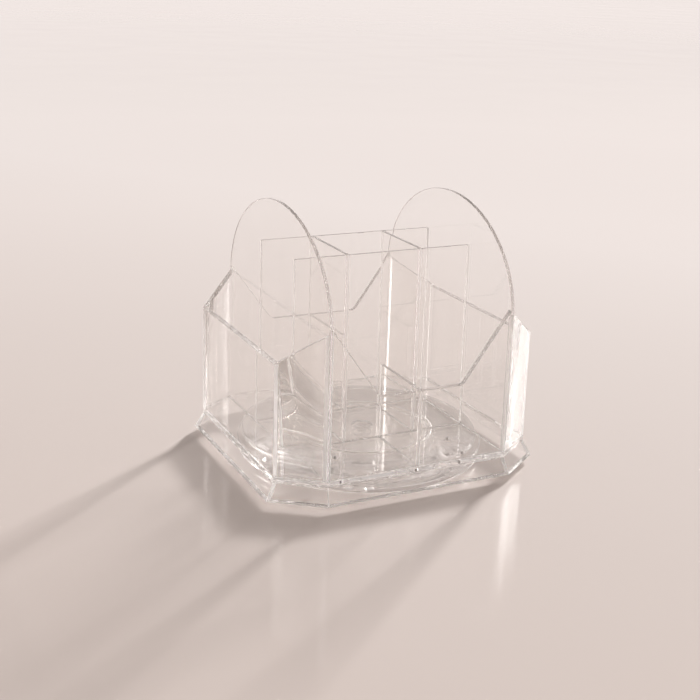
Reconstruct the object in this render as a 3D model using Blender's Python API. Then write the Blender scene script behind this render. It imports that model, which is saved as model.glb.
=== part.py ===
"""Rotating desk organizer: clear acrylic compartments on a ball-bearing turntable.

Metres, +Z up. The origin is the turntable's centre on the surface it stands on.
-Y is the organizer's front and +X its right side.
"""
import math

import bmesh
import bpy
from mathutils import Vector

# Sheet thicknesses, and the gap that stands for a glued or touching face
WALL = 0.0050
PANEL = 0.0030
GAP = 0.0003

# Octagonal plan, to the outer faces of the walls
HALF_WIDTH = 0.1206
HALF_DEPTH = 0.1113
FRONT_HALF = 0.0833
SIDE_HALF = 0.0848

# Levels of the flat pieces, from the table up
FOOT_HEIGHT = 0.0012
BASE_BOTTOM = FOOT_HEIGHT + GAP
BASE_TOP = 0.0100
DISC_SPACE = 0.0032
TOP_DISC_BOTTOM = BASE_TOP + DISC_SPACE
TOP_DISC_TOP = TOP_DISC_BOTTOM + 0.0050
FLOOR_BOTTOM = TOP_DISC_TOP + GAP
FLOOR_TOP = FLOOR_BOTTOM + WALL
PANEL_FOOT = FLOOR_TOP + GAP

# Heights above the floor plate's top face
SIDE_HEIGHT = 0.0964
CORNER_HEIGHT = 0.1251
FRONT_NOTCH_HEIGHT = 0.0670
BACK_NOTCH_HEIGHT = 0.0720
TALL_HEIGHT = 0.1672
ARCH_SPRING = 0.1202
ARCH_HEIGHT = 0.2088

# Half width of the front notch's bottom, the rise of both notches' slanted edges, and their rounded corners
FRONT_NOTCH_HALF = 0.0387
NOTCH_RISE = 1.40
NOTCH_ROUND = 0.0070

# Places of the inner panels' middle planes
ARCH_X = FRONT_HALF
TALL_Y = 0.0365
CROSS_X = 0.0348

# Flared skirt under the floor plate
SKIRT_BOTTOM = 0.0050
SKIRT_FLARE = 0.0071

# Turntable discs
BASE_RADIUS = 0.1080
TOP_DISC_RADIUS = 0.1040
DISC_BEVEL = 0.0005

# Ball race: balls in facing grooves, spaced by a flat cage
RACE_RADIUS = 0.0620
BALL_RADIUS = 0.0025
BALL_COUNT = 12
BALL_Z = (BASE_TOP + TOP_DISC_BOTTOM) / 2
GROOVE_RADIUS = BALL_RADIUS + GAP
CAGE_THICKNESS = 0.0016
CAGE_HALF_WIDTH = 0.0050

# Centre pivot: a headed pin from below, a flanged bush and a retaining ring
PIN_RADIUS = 0.0040
PIN_HEAD_RADIUS = 0.0080
PIN_HEAD_HEIGHT = 0.0029
PIN_HEAD_BOTTOM = BASE_BOTTOM + GAP
PIN_TOP = TOP_DISC_TOP - GAP
COUNTERBORE_RADIUS = 0.0090
COUNTERBORE_DEPTH = 0.0035
BUSH_RADIUS = 0.0060
BUSH_FLANGE_RADIUS = 0.0090
BUSH_FLANGE_HEIGHT = 0.0008
TOP_RECESS_RADIUS = 0.0100
TOP_RECESS_FLOOR = TOP_DISC_BOTTOM + 0.0018
RING_RADIUS = 0.0075
RING_HEIGHT = 0.0012

# Screws that hold the top disc under the floor plate
SCREW_X = 0.0550
SCREW_Y = 0.0610
SCREW_RADIUS = 0.0016
SCREW_HEAD_RADIUS = 0.0034
SCREW_HEAD_HEIGHT = 0.0018
SCREW_HEAD_Z = TOP_DISC_BOTTOM + 0.0002
SCREW_TIP_Z = FLOOR_TOP - 0.0018
RECESS_LENGTH = 0.0034
RECESS_WIDTH = 0.0008
RECESS_DEPTH = 0.0009

# Rubber feet
FOOT_RADIUS = 0.0060
FOOT_PLACE = 0.0650

# Round pieces' steps
DISC_STEPS = 72
SMALL_STEPS = 24
ARCH_STEPS = 48
GROOVE_STEPS = 5
CORNER_STEPS = 6

# Colour, roughness and metallic value of each finish
LOOKS = {
    "clear": ((0.93, 0.90, 0.87), 0.04, 0.0),
    "clear_moulded": ((0.90, 0.88, 0.85), 0.12, 0.0),
    "nylon": ((0.86, 0.84, 0.80), 0.35, 0.0),
    "steel": ((0.36, 0.33, 0.31), 0.30, 1.0),
    "silicone": ((0.82, 0.79, 0.76), 0.55, 0.0),
}


def clear_scene():
    """Empties the scene, so that the model is all it holds."""
    for old in list(bpy.data.objects):
        bpy.data.objects.remove(old, do_unlink=True)


def dress(obj, look):
    """Gives an object a material of its own in one of the finishes."""
    colour, roughness, metallic = LOOKS[look]
    material = bpy.data.materials.new(obj.name)
    material.use_nodes = True
    shader = material.node_tree.nodes["Principled BSDF"]
    shader.inputs["Base Color"].default_value = (*colour, 1.0)
    shader.inputs["Roughness"].default_value = roughness
    shader.inputs["Metallic"].default_value = metallic
    obj.data.materials.append(material)


def add_object(name, mesh, look, carrier=None, round_piece=False):
    """Links a named object, dresses it and hangs it on the empty that carries it."""
    obj = bpy.data.objects.new(name, mesh)
    bpy.context.collection.objects.link(obj)
    if look and not mesh.materials:
        dress(obj, look)
    if round_piece:
        mesh.shade_smooth()
        mesh.set_sharp_from_angle(angle=math.radians(35))
    obj.parent = carrier
    return obj


def to_mesh(bm, name):
    """Turns a closed bmesh into a mesh whose faces point out."""
    bmesh.ops.remove_doubles(bm, verts=bm.verts, dist=1e-6)
    bmesh.ops.recalc_face_normals(bm, faces=bm.faces)
    mesh = bpy.data.meshes.new(name)
    bm.to_mesh(mesh)
    bm.free()
    return mesh


def prism(name, outline, axis, start, depth):
    """A flat outline extruded along one axis: the outline's pairs are the other two axes in order."""
    bm = bmesh.new()
    corners = []
    for first, second in outline:
        place = [first, second]
        place.insert("XYZ".index(axis), start)
        corners.append(bm.verts.new(place))
    face = bm.faces.new(corners)
    grown = bmesh.ops.extrude_face_region(bm, geom=[face])
    move = Vector([depth if letter == axis else 0.0 for letter in "XYZ"])
    moved = [v for v in grown["geom"] if isinstance(v, bmesh.types.BMVert)]
    bmesh.ops.translate(bm, verts=moved, vec=move)
    return to_mesh(bm, name)


def block(name, lower, upper):
    """A four-sided solid between two rings of four points."""
    bm = bmesh.new()
    rings = [[bm.verts.new(p) for p in ring] for ring in (lower, upper)]
    bm.faces.new(rings[0])
    bm.faces.new(rings[1])
    for i in range(4):
        j = (i + 1) % 4
        bm.faces.new((rings[0][i], rings[0][j], rings[1][j], rings[1][i]))
    return to_mesh(bm, name)


def turned(name, profile, steps, closed=True):
    """A profile of radius and height turned about Z: a closed one makes a ring, an open one a solid."""
    bm = bmesh.new()
    points = [bm.verts.new((radius, 0.0, z)) for radius, z in profile]
    edges = [bm.edges.new(pair) for pair in zip(points, points[1:])]
    if closed:
        edges.append(bm.edges.new((points[-1], points[0])))
    bmesh.ops.spin(bm, geom=points + edges, cent=(0, 0, 0), axis=(0, 0, 1),
                   angle=math.tau, steps=steps, use_merge=True)
    return to_mesh(bm, name)


def cut(obj, cutter):
    """Takes the cutter's shape out of the object."""
    cutter.hide_render = True
    cutter.display_type = "WIRE"
    modifier = obj.modifiers.new(cutter.name, "BOOLEAN")
    modifier.operation = "DIFFERENCE"
    modifier.solver = "EXACT"
    modifier.object = cutter


def octagon(offset):
    """The plan's eight corners, anticlockwise from the front left, moved out by an offset."""
    plain = [Vector((-FRONT_HALF, -HALF_DEPTH)), Vector((FRONT_HALF, -HALF_DEPTH)),
             Vector((HALF_WIDTH, -SIDE_HALF)), Vector((HALF_WIDTH, SIDE_HALF)),
             Vector((FRONT_HALF, HALF_DEPTH)), Vector((-FRONT_HALF, HALF_DEPTH)),
             Vector((-HALF_WIDTH, SIDE_HALF)), Vector((-HALF_WIDTH, -SIDE_HALF))]
    moved = []
    for i, corner in enumerate(plain):
        before = (corner - plain[i - 1]).normalized()
        after = (plain[(i + 1) % 8] - corner).normalized()
        out_before = Vector((before.y, -before.x))
        out_after = Vector((after.y, -after.x))
        bisector = (out_before + out_after).normalized()
        moved.append(corner + bisector * (offset / bisector.dot(out_before)))
    return moved


def side_points(index, offset, trim):
    """Both ends of one side of the octagon, moved out by an offset and drawn in by a trim."""
    corners = octagon(offset)
    start, end = corners[index], corners[(index + 1) % 8]
    along = (end - start).normalized() * trim
    return start + along, end - along


SIDES = ["front", "front_right", "right", "back_right", "back", "back_left", "left", "front_left"]


def floor_plate(carrier):
    """The octagonal plate that every wall and panel stands on, with blind holes for the screws."""
    outline = [tuple(corner) for corner in octagon(0.0)]
    plate = add_object("floor_plate", prism("floor_plate", outline, "Z", FLOOR_BOTTOM, WALL), "clear", carrier)
    depth = SCREW_TIP_Z + GAP
    hole = [(0, FLOOR_BOTTOM - WALL), (SCREW_RADIUS + GAP, FLOOR_BOTTOM - WALL),
            (SCREW_RADIUS + GAP, depth), (0, depth)]
    for number, place in enumerate(screw_places(), start=1):
        cutter = add_object(f"floor_hole_{number}", turned("floor_hole", hole, SMALL_STEPS, closed=False), None)
        cutter.location = place
        cut(plate, cutter)


def notched_outline(notch_height):
    """The front or back wall from the front: a low middle, and slanted edges that rise to both ends."""
    end = ARCH_X - PANEL / 2 - GAP
    notch_half = FRONT_NOTCH_HALF + (notch_height - FRONT_NOTCH_HEIGHT) / NOTCH_RISE
    end_height = notch_height + (end - notch_half) * NOTCH_RISE
    turn = math.atan(NOTCH_RISE)
    start = notch_half - NOTCH_ROUND * math.tan(turn / 2)
    corner = []
    for step in range(CORNER_STEPS + 1):
        angle = turn * step / CORNER_STEPS
        corner.append((start + NOTCH_ROUND * math.sin(angle),
                       FLOOR_TOP + notch_height + NOTCH_ROUND * (1 - math.cos(angle))))
    right = [(end, PANEL_FOOT), (end, FLOOR_TOP + end_height)] + corner[::-1]
    return right + [(-x, z) for x, z in right[::-1]]


def notched_walls(carrier):
    """The front and back walls, between the arch panels."""
    front = prism("front_wall", notched_outline(FRONT_NOTCH_HEIGHT), "Y", -HALF_DEPTH, WALL)
    back = prism("back_wall", notched_outline(BACK_NOTCH_HEIGHT), "Y", HALF_DEPTH - WALL, WALL)
    add_object("front_wall", front, "clear", carrier)
    add_object("back_wall", back, "clear", carrier)


def side_walls(carrier):
    """The left and right walls, mitred at both ends."""
    for index in (2, 6):
        outer = side_points(index, 0.0, GAP / 2)
        inner = side_points(index, -WALL, GAP / 2)
        plan = [outer[0], outer[1], inner[1], inner[0]]
        rings = [[(p.x, p.y, z) for p in plan] for z in (PANEL_FOOT, FLOOR_TOP + SIDE_HEIGHT)]
        name = SIDES[index] + "_wall"
        add_object(name, block(name, *rings), "clear", carrier)


def corner_walls(carrier):
    """The four slanted walls: mitred to a side wall, cut square to an arch panel, with a rising top."""
    limit = ARCH_X + PANEL / 2 + GAP
    for index in (1, 3, 5, 7):
        outer = side_points(index, 0.0, GAP / 2)
        inner = side_points(index, -WALL, GAP / 2)
        if abs(outer[0].x) > abs(outer[1].x):
            outer, inner = outer[::-1], inner[::-1]
        along = (outer[1] - outer[0]).normalized()
        length = (octagon(0.0)[index] - octagon(0.0)[(index + 1) % 8]).length
        plan = []
        for low, high in (outer, inner):
            cut_share = (math.copysign(limit, low.x) - low.x) / (high.x - low.x)
            plan.append((low + (high - low) * cut_share, high))
        ends = [plan[0][0], plan[0][1], plan[1][1], plan[1][0]]
        rise = (CORNER_HEIGHT - SIDE_HEIGHT) / length
        foot = [(p.x, p.y, PANEL_FOOT) for p in ends]
        top = []
        for p in ends:
            from_side = length - (p - outer[0]).dot(along)
            top.append((p.x, p.y, FLOOR_TOP + SIDE_HEIGHT + rise * from_side))
        name = SIDES[index] + "_corner_wall"
        add_object(name, block(name, foot, top), "clear", carrier)


def arch_panels(carrier):
    """The two tall panels with half-elliptical tops that run from front to back."""
    outline = [(-HALF_DEPTH, PANEL_FOOT), (HALF_DEPTH, PANEL_FOOT)]
    for step in range(ARCH_STEPS + 1):
        angle = math.pi * step / ARCH_STEPS
        height = ARCH_SPRING + (ARCH_HEIGHT - ARCH_SPRING) * math.sin(angle)
        outline.append((HALF_DEPTH * math.cos(angle), FLOOR_TOP + height))
    for name, middle in (("left_arch_panel", -ARCH_X), ("right_arch_panel", ARCH_X)):
        add_object(name, prism(name, outline, "X", middle - PANEL / 2, PANEL), "clear", carrier)


def rectangle(low, high):
    """The outline of an upright rectangle."""
    return [(low[0], low[1]), (high[0], low[1]), (high[0], high[1]), (low[0], high[1])]


def inner_panels(carrier):
    """The tall panels, the dividers between them and the low dividers in the front and back bays."""
    half = PANEL / 2
    tall_end = ARCH_X - half - GAP
    tall = rectangle((-tall_end, PANEL_FOOT), (tall_end, FLOOR_TOP + TALL_HEIGHT))
    for name, middle in (("front_tall_panel", -TALL_Y), ("back_tall_panel", TALL_Y)):
        add_object(name, prism(name, tall, "Y", middle - half, PANEL), "clear", carrier)
    cross_end = TALL_Y - half - GAP
    cross = rectangle((-cross_end, PANEL_FOOT), (cross_end, FLOOR_TOP + TALL_HEIGHT))
    for name, middle in (("left_cross_divider", -CROSS_X), ("right_cross_divider", CROSS_X)):
        add_object(name, prism(name, cross, "X", middle - half, PANEL), "clear", carrier)
    near, far = TALL_Y + half + GAP, HALF_DEPTH - WALL - GAP
    low_front = rectangle((-far, PANEL_FOOT), (-near, FLOOR_TOP + FRONT_NOTCH_HEIGHT))
    low_back = rectangle((near, PANEL_FOOT), (far, FLOOR_TOP + BACK_NOTCH_HEIGHT))
    for name, outline in (("front_low_divider", low_front), ("back_low_divider", low_back)):
        add_object(name, prism(name, outline, "X", -half, PANEL), "clear", carrier)


def skirt_strips(carrier):
    """Eight flared strips under the plate's rim, mitred to each other."""
    top, drop = FLOOR_BOTTOM - GAP, FLOOR_BOTTOM - SKIRT_BOTTOM
    level_width = WALL * math.hypot(drop, SKIRT_FLARE) / drop
    flare_at_top = SKIRT_FLARE * GAP / drop
    for index, side in enumerate(SIDES):
        rings = []
        for z, flare in ((SKIRT_BOTTOM, SKIRT_FLARE), (top, flare_at_top)):
            outer = side_points(index, flare, GAP / 2)
            inner = side_points(index, flare - level_width, GAP / 2)
            plan = [outer[0], outer[1], inner[1], inner[0]]
            rings.append([(p.x, p.y, z) for p in plan])
        name = side + "_skirt"
        add_object(name, block(name, *rings), "clear", carrier)


def groove(level, facing):
    """Points of the ball groove in a disc face: facing is 1 for a top face and -1 for an underside."""
    reach = math.asin((BALL_Z - level) * facing / GROOVE_RADIUS)
    points = []
    for step in range(GROOVE_STEPS + 1):
        share = step / GROOVE_STEPS
        angle = -facing * (reach + (math.pi - 2 * reach) * share)
        points.append((RACE_RADIUS + GROOVE_RADIUS * math.cos(angle), BALL_Z + GROOVE_RADIUS * math.sin(angle)))
    return points


def screw_places():
    """The four screws' places on the floor plate."""
    return [(x, y, 0.0) for x in (-SCREW_X, SCREW_X) for y in (-SCREW_Y, SCREW_Y)]


def top_disc(carrier):
    """The upper turntable disc: recessed for the pivot, grooved for the balls, drilled for the screws."""
    rim = TOP_DISC_RADIUS
    bore = BUSH_RADIUS + GAP
    profile = [(bore, TOP_DISC_BOTTOM)]
    profile += groove(TOP_DISC_BOTTOM, -1)[::-1]
    profile += [(rim - DISC_BEVEL, TOP_DISC_BOTTOM), (rim, TOP_DISC_BOTTOM + DISC_BEVEL),
                (rim, TOP_DISC_TOP - DISC_BEVEL), (rim - DISC_BEVEL, TOP_DISC_TOP),
                (TOP_RECESS_RADIUS, TOP_DISC_TOP), (TOP_RECESS_RADIUS, TOP_RECESS_FLOOR),
                (bore, TOP_RECESS_FLOOR)]
    mesh = turned("turntable_top_disc", profile, DISC_STEPS)
    disc = add_object("turntable_top_disc", mesh, "clear_moulded", carrier, round_piece=True)
    hole = SCREW_RADIUS + GAP
    mouth = SCREW_HEAD_RADIUS + GAP
    sink = [(0, TOP_DISC_BOTTOM - WALL), (mouth, TOP_DISC_BOTTOM - WALL), (mouth, SCREW_HEAD_Z + GAP),
            (hole, SCREW_HEAD_Z + GAP + SCREW_HEAD_HEIGHT), (hole, TOP_DISC_TOP + WALL),
            (0, TOP_DISC_TOP + WALL)]
    for number, place in enumerate(screw_places(), start=1):
        cutter = add_object(f"disc_hole_{number}", turned("disc_hole", sink, SMALL_STEPS, closed=False), None)
        cutter.location = place
        cut(disc, cutter)


def base_disc():
    """The lower turntable disc: counterbored from below for the pin's head, grooved for the balls."""
    rim = BASE_RADIUS
    bore = PIN_RADIUS + GAP
    shoulder = BASE_BOTTOM + COUNTERBORE_DEPTH
    profile = [(COUNTERBORE_RADIUS, BASE_BOTTOM), (rim - DISC_BEVEL, BASE_BOTTOM),
               (rim, BASE_BOTTOM + DISC_BEVEL), (rim, BASE_TOP - DISC_BEVEL), (rim - DISC_BEVEL, BASE_TOP)]
    profile += groove(BASE_TOP, 1)
    profile += [(bore, BASE_TOP), (bore, shoulder), (COUNTERBORE_RADIUS, shoulder)]
    mesh = turned("turntable_base_disc", profile, DISC_STEPS)
    add_object("turntable_base_disc", mesh, "clear_moulded", round_piece=True)


def ball_race(carrier):
    """The flat cage with a hole for each ball, and the balls in it."""
    low, high = BALL_Z - CAGE_THICKNESS / 2, BALL_Z + CAGE_THICKNESS / 2
    inner, outer = RACE_RADIUS - CAGE_HALF_WIDTH, RACE_RADIUS + CAGE_HALF_WIDTH
    ring = turned("ball_cage", [(inner, low), (outer, low), (outer, high), (inner, high)], DISC_STEPS)
    cage = add_object("ball_cage", ring, "nylon", carrier, round_piece=True)
    hole = turned("cage_hole", [(0, low - GAP), (GROOVE_RADIUS, low - GAP), (GROOVE_RADIUS, high + GAP),
                                (0, high + GAP)], SMALL_STEPS, closed=False)
    bm = bmesh.new()
    bmesh.ops.create_uvsphere(bm, u_segments=12, v_segments=8, radius=BALL_RADIUS)
    ball_mesh = to_mesh(bm, "ball")
    for number in range(BALL_COUNT):
        angle = math.tau * (number + 0.5) / BALL_COUNT
        place = Vector((RACE_RADIUS * math.cos(angle), RACE_RADIUS * math.sin(angle), 0.0))
        cutter = add_object(f"cage_hole_{number + 1}", hole, None)
        cutter.location = place
        cut(cage, cutter)
        ball = add_object(f"ball_{number + 1:02d}", ball_mesh, "clear", carrier, round_piece=True)
        ball.location = place + Vector((0.0, 0.0, BALL_Z))


def pivot(organizer):
    """The pin and its retaining ring on the base, and the bush in the top disc."""
    head_top = PIN_HEAD_BOTTOM + PIN_HEAD_HEIGHT
    pin = [(0, PIN_HEAD_BOTTOM), (PIN_HEAD_RADIUS, PIN_HEAD_BOTTOM), (PIN_HEAD_RADIUS, head_top),
           (PIN_RADIUS, head_top), (PIN_RADIUS, PIN_TOP), (0, PIN_TOP)]
    add_object("pivot_pin", turned("pivot_pin", pin, SMALL_STEPS, closed=False), "nylon", round_piece=True)
    bore = PIN_RADIUS + GAP
    flange_low = TOP_RECESS_FLOOR + GAP
    flange_high = flange_low + BUSH_FLANGE_HEIGHT
    bush = [(bore, TOP_DISC_BOTTOM + GAP), (BUSH_RADIUS, TOP_DISC_BOTTOM + GAP), (BUSH_RADIUS, flange_low),
            (BUSH_FLANGE_RADIUS, flange_low), (BUSH_FLANGE_RADIUS, flange_high), (bore, flange_high)]
    add_object("pivot_bush", turned("pivot_bush", bush, SMALL_STEPS), "nylon", organizer, round_piece=True)
    ring_low = flange_high + GAP
    ring_high = ring_low + RING_HEIGHT
    ring = [(bore, ring_low), (RING_RADIUS, ring_low), (RING_RADIUS, ring_high), (bore, ring_high)]
    add_object("pivot_retaining_ring", turned("pivot_retaining_ring", ring, SMALL_STEPS), "nylon",
               round_piece=True)


def screws(carrier):
    """Four countersunk screws, heads down, with a cross recess."""
    neck = SCREW_HEAD_Z + SCREW_HEAD_HEIGHT
    profile = [(0, SCREW_HEAD_Z), (SCREW_HEAD_RADIUS, SCREW_HEAD_Z), (SCREW_RADIUS, neck),
               (SCREW_RADIUS, SCREW_TIP_Z), (0, SCREW_TIP_Z)]
    mesh = turned("turntable_screw", profile, SMALL_STEPS, closed=False)
    arm, half = RECESS_LENGTH / 2, RECESS_WIDTH / 2
    cross = [(-arm, -half), (-half, -half), (-half, -arm), (half, -arm), (half, -half), (arm, -half),
             (arm, half), (half, half), (half, arm), (-half, arm), (-half, half), (-arm, half)]
    recess = prism("screw_recess", cross, "Z", SCREW_HEAD_Z - RECESS_DEPTH, 2 * RECESS_DEPTH)
    for number, place in enumerate(screw_places(), start=1):
        screw = add_object(f"turntable_screw_{number}", mesh, "steel", carrier, round_piece=True)
        screw.location = place
        cutter = add_object(f"screw_recess_{number}", recess, None)
        cutter.location = place
        cut(screw, cutter)


def feet():
    """Four soft pads under the base disc."""
    profile = [(0, 0), (FOOT_RADIUS, 0), (FOOT_RADIUS, FOOT_HEIGHT), (0, FOOT_HEIGHT)]
    mesh = turned("rubber_foot", profile, SMALL_STEPS, closed=False)
    places = [(x, y, 0.0) for x in (-FOOT_PLACE, FOOT_PLACE) for y in (-FOOT_PLACE, FOOT_PLACE)]
    for number, place in enumerate(places, start=1):
        foot = add_object(f"rubber_foot_{number}", mesh, "silicone", round_piece=True)
        foot.location = place


def add_carrier(name):
    """An empty on the turntable's axis."""
    empty = bpy.data.objects.new(name, None)
    bpy.context.collection.objects.link(empty)
    return empty


def main():
    """Builds every piece where it stands at rest."""
    clear_scene()
    organizer = add_carrier("organizer_axis")
    cage = add_carrier("ball_cage_axis")
    floor_plate(organizer)
    notched_walls(organizer)
    side_walls(organizer)
    corner_walls(organizer)
    arch_panels(organizer)
    inner_panels(organizer)
    skirt_strips(organizer)
    top_disc(organizer)
    screws(organizer)
    base_disc()
    ball_race(cage)
    pivot(organizer)
    feet()


main()
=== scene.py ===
"""A rotating desk organizer of clear cemented sheets on a ball-bearing turntable."""
import math

import bmesh
import bpy
from mathutils import Matrix, Vector


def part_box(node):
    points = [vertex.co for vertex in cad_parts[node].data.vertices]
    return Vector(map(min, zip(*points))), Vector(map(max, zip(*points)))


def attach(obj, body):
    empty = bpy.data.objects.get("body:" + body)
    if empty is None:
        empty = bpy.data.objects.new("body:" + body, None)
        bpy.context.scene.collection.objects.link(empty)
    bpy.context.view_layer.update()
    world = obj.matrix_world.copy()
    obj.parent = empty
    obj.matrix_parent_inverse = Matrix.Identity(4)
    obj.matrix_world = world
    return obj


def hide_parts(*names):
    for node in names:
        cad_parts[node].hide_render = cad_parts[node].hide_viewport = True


bl_info = {
    "name": "Rotating Desk Organizer",
    "version": (1, 0, 0),
    "blender": (4, 5, 0),
    "location": "View3D > Sidebar > Organizer",
    "description": "Makes a clear rotating desk organizer from its frame, with the stage that shows it",
    "category": "Object",
}

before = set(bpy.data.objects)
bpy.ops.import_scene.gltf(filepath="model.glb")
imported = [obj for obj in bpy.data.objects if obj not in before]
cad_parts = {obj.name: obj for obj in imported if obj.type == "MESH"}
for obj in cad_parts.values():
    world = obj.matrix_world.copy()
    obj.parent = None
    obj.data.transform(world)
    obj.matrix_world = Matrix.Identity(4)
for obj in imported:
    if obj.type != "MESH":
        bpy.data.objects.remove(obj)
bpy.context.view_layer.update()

MM = 0.001
GAP = 0.3 * MM
SIDES = ("front", "front_right", "right", "back_right", "back", "back_left", "left", "front_left")
DOWN, UP = Vector((0, 0, -1)), Vector((0, 0, 1))
LEFT, RIGHT = Vector((-1, 0, 0)), Vector((1, 0, 0))
FRONT, BACK = Vector((0, -1, 0)), Vector((0, 1, 0))
FLOOR_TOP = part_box("floor_plate")[1].z

# Shapes of the sheets that the boxes of their nodes don't give
SLANT = Vector((0.5794, 0.8150, 0.0))
WALL = 5.0 * MM
ARCH_SPRING = 120.2 * MM
ARCH_STEPS = 128
NOTCH_RISE = 1.40
NOTCH_ROUND = 7.0 * MM

# An upright bead's width, its start over the plate and a bead's depth, as shares of the bead and the sink
UPRIGHT_WIDTH, UPRIGHT_START, BEAD_DEPTH = 0.6, 0.3, 0.5

# Ball race
BALL_COUNT = 12
BALL_RADIUS = 2.5 * MM
BALL_Z = 11.6 * MM
RACE_RADIUS = 62.0 * MM
GROOVE_RADIUS = 2.8 * MM
CAGE_WIDTH = 10.0 * MM

# Discs: a radius outside the ball groove, and the bores and recesses for the pivot's parts
BEYOND_GROOVE = 70.0 * MM
PIN_RADIUS, PIN_BORE, PIN_HEAD = 4.0 * MM, 4.3 * MM, 2.9 * MM
COUNTERBORE_RADIUS, COUNTERBORE_DEPTH = 9.0 * MM, 3.5 * MM
BUSH_RADIUS, BUSH_BORE, BUSH_FLANGE = 6.0 * MM, 6.3 * MM, 0.8 * MM
RECESS_RADIUS, RECESS_FLOOR = 10.0 * MM, 1.8 * MM
RING_SPLIT = 1.2 * MM

# Screws and feet: the screw's holes, head, neck and shank, and the share of its radius that has no thread
FIXING_COUNT = 4
HEAD_HOLE, HEAD_HOLE_DEPTH = 3.7 * MM, 0.5 * MM
SHANK_HOLE, SHANK_HOLE_START = 1.9 * MM, 2.3 * MM
HEAD_HEIGHT, HEAD_EDGE = 1.8 * MM, 0.15 * MM
NECK_RADIUS, NECK_HEIGHT = 1.25 * MM, 0.3 * MM
SHANK_RADIUS, THREAD_CORE = 1.6 * MM, 0.78

# Material slots of a sheet: its faces, its polished edges, and its level and upright cemented edges
FACE, EDGE, FOOT, END = 0, 1, 2, 3
# Second material slot of a disc, for its groove, and of a compartment's beads, for the upright ones
TRACK, UPRIGHT = 1, 1

# Share by which the grain shrinks through a sheet's thickness, which draws cut lines across its edges
GRAIN_STRETCH = 0.97
# How late, towards a grazing ray, a clear surface starts to throw light aside, as a power
GRAZING_POWER = 8.0

# Floor: its radius, how far it lies under the feet, and the way and stretch of the painted shade in its
# colour, darker towards the front left and lighter towards the back right
FLOOR_RADIUS, FLOOR_DROP = 60.0, 0.02 * MM
FLOOR_SHADE_WAY, FLOOR_SHADE_STRETCH = (0.87, 0.50, 0.0), (-0.35, 0.90)
# Heights, as the sine of the elevation, between which the surroundings change from low to high colour
SKY_HEIGHTS = (0.22, 0.62)

# Lights: the key light's way and angle, and the ways, places and sizes of both windows
CENTRE = Vector((0.0, 0.0, FLOOR_TOP))
KEY_WAY = Vector((0.755, 0.560, 0.342)).normalized()
KEY_ANGLE = math.radians(7)
WINDOW_WAY = Vector((0.883, 0.321, 0.342)).normalized()
WINDOW_DISTANCE, WINDOW_SIZE = 6.0, (1.6, 1.6)
SIDE_WINDOW_PLACE, SIDE_WINDOW_SIZE = (4.0, 0.6, 1.2), (2.2, 1.4)

# Camera: its place, its ways to the right and backwards, and its picture's shift
CAMERA_PLACE = (-0.4715, -0.9283, 0.4341)
CAMERA_RIGHT = Vector((0.89273, -0.44932, 0.03385)).normalized()
CAMERA_BACK = Vector((-0.44187, -0.85825, 0.26107)).normalized()
CAMERA_SHIFT = (-0.0306, -0.0936)


class OrganizerSheets(bpy.types.PropertyGroup):
    """Sizes and finish of the clear sheets."""

    tint: bpy.props.FloatVectorProperty(
        name="Sheet tint", description="Colour that a sheet lets through",
        subtype="COLOR", size=3, default=(0.994, 0.990, 0.986), min=0.0, max=1.0)
    index: bpy.props.FloatProperty(
        name="Refractive index", description="Refractive index of cast acrylic",
        default=1.49, min=1.0, max=2.0)
    arris: bpy.props.FloatProperty(
        name="Arris", description="Width of the broken corners along the polished edges",
        subtype="DISTANCE", unit="LENGTH", default=0.25 * MM, min=0.0)
    sink: bpy.props.FloatProperty(
        name="Cement sink", description="How far a cemented edge goes into its neighbour",
        subtype="DISTANCE", unit="LENGTH", default=0.06 * MM, min=0.0)
    bead: bpy.props.FloatProperty(
        name="Cement bead", description="Width of the cement beads in the corners of the compartments",
        subtype="DISTANCE", unit="LENGTH", default=0.8 * MM, min=0.0)


class OrganizerTurntable(bpy.types.PropertyGroup):
    """Sizes and finish of the turntable."""

    steps: bpy.props.IntProperty(
        name="Steps", description="Number of steps round the discs", default=256, min=48, max=512)
    rim: bpy.props.FloatProperty(
        name="Rim rounding", description="Radius of the rounded rims of the discs",
        subtype="DISTANCE", unit="LENGTH", default=0.9 * MM, min=0.0)
    thread: bpy.props.FloatProperty(
        name="Thread pitch", description="Pitch of the screws' thread",
        subtype="DISTANCE", unit="LENGTH", default=1.1 * MM, min=0.1 * MM)
    steel: bpy.props.FloatVectorProperty(
        name="Screw colour", description="Colour of the darkened steel screws",
        subtype="COLOR", size=3, default=(0.17, 0.145, 0.13), min=0.0, max=1.0)


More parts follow.
